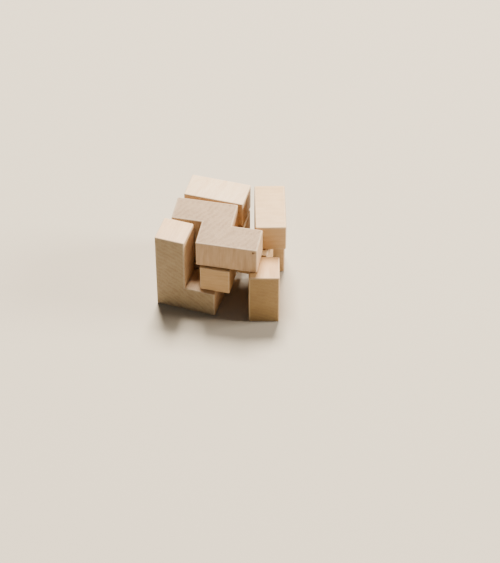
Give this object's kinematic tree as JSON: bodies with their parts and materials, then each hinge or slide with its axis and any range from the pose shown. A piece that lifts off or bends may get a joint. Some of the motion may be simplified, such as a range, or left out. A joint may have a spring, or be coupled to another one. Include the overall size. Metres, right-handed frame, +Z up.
{
  "type": "wooden cube assembly puzzle",
  "caption": "Interlocking hardwood puzzle of L, V, T, Z, square and twisted blocks that pack into a cube, shown pulled slightly apart.",
  "frame": {"origin": "bottom centre of the arrangement's bounding box, on the surface it stands on", "axes": "+Z up, +X to the right as seen from the front, +Y from the front to the back"},
  "size_m": [0.0838, 0.0764, 0.0598],
  "materials": {
    "pale_hardwood": "pale cream hardwood, sanded smooth, no visible lacquer",
    "warm_hardwood": "warm honey hardwood, sanded smooth, no visible lacquer",
    "tan_hardwood": "pinkish tan hardwood with faint streaks, sanded smooth, no visible lacquer"
  },
  "bodies": {
    "core_t_piece": {"core_t_piece": "warm_hardwood"},
    "left_l_piece": {"left_l_piece": "tan_hardwood"},
    "top_z_piece": {"top_z_piece": "tan_hardwood"},
    "front_v_piece": {"front_v_piece": "warm_hardwood"},
    "right_l_piece": {"right_l_piece": "pale_hardwood"},
    "rear_screw_piece": {"rear_screw_piece": "pale_hardwood"},
    "base_square_piece": {"base_square_piece": "warm_hardwood"}
  },
  "joints": [
    {"name": "top_z_lift", "type": "slide", "parent": "core_t_piece", "child": "top_z_piece", "axis": [0, 0, 1], "range_m": [0, 0.025]},
    {"name": "right_l_lift", "type": "slide", "parent": "core_t_piece", "child": "right_l_piece", "axis": [0, 0, 1], "range_m": [0, 0.045]},
    {"name": "left_l_slide", "type": "slide", "parent": "core_t_piece", "child": "left_l_piece", "axis": [-0.9532, 0.3024, 0], "range_m": [0, 0.045]},
    {"name": "front_v_slide", "type": "slide", "parent": "core_t_piece", "child": "front_v_piece", "axis": [1, 0, 0], "range_m": [0, 0.045]},
    {"name": "rear_screw_slide", "type": "slide", "parent": "core_t_piece", "child": "rear_screw_piece", "axis": [0.2656, 0.9641, 0], "range_m": [0, 0.045]},
    {"name": "base_square_slide", "type": "slide", "parent": "core_t_piece", "child": "base_square_piece", "axis": [0.284, 0.9588, 0], "range_m": [0, 0.045]}
  ]
}
